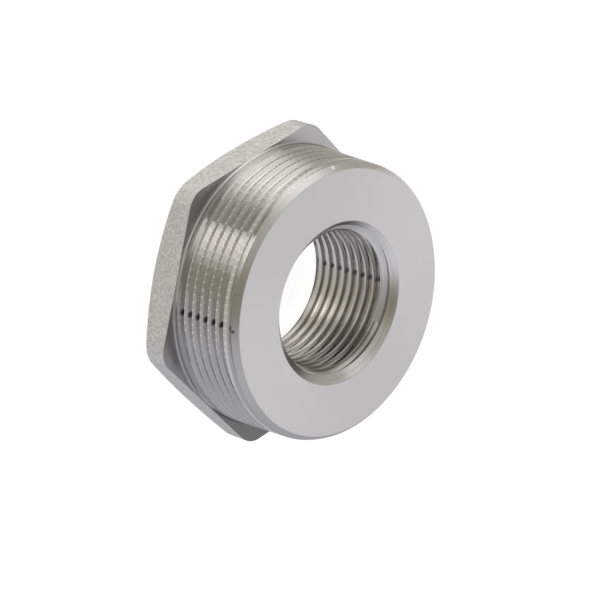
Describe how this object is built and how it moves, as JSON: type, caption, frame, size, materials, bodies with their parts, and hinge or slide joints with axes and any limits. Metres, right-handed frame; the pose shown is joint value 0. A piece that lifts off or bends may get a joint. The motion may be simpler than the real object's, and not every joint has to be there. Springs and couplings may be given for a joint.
{
  "type": "hex bushing",
  "caption": "Reducing bushing for threaded pipe: a thin hexagon head with rounded corners, a tapered male thread with its run-out, and a plain through bore for the smaller female thread.",
  "frame": {"origin": "centre of the hexagon's flat rear face, on the bore's axis", "axes": "+Z along the bore, from the hexagon towards the tapered male end; two of the six flats face along X"},
  "size_m": [0.0596, 0.0672, 0.0244],
  "materials": {
    "stainless_steel": "cast stainless steel, blasted flats and turned ends and threads"
  },
  "bodies": {
    "root": {"hex_bushing": "stainless_steel"}
  },
  "joints": []
}
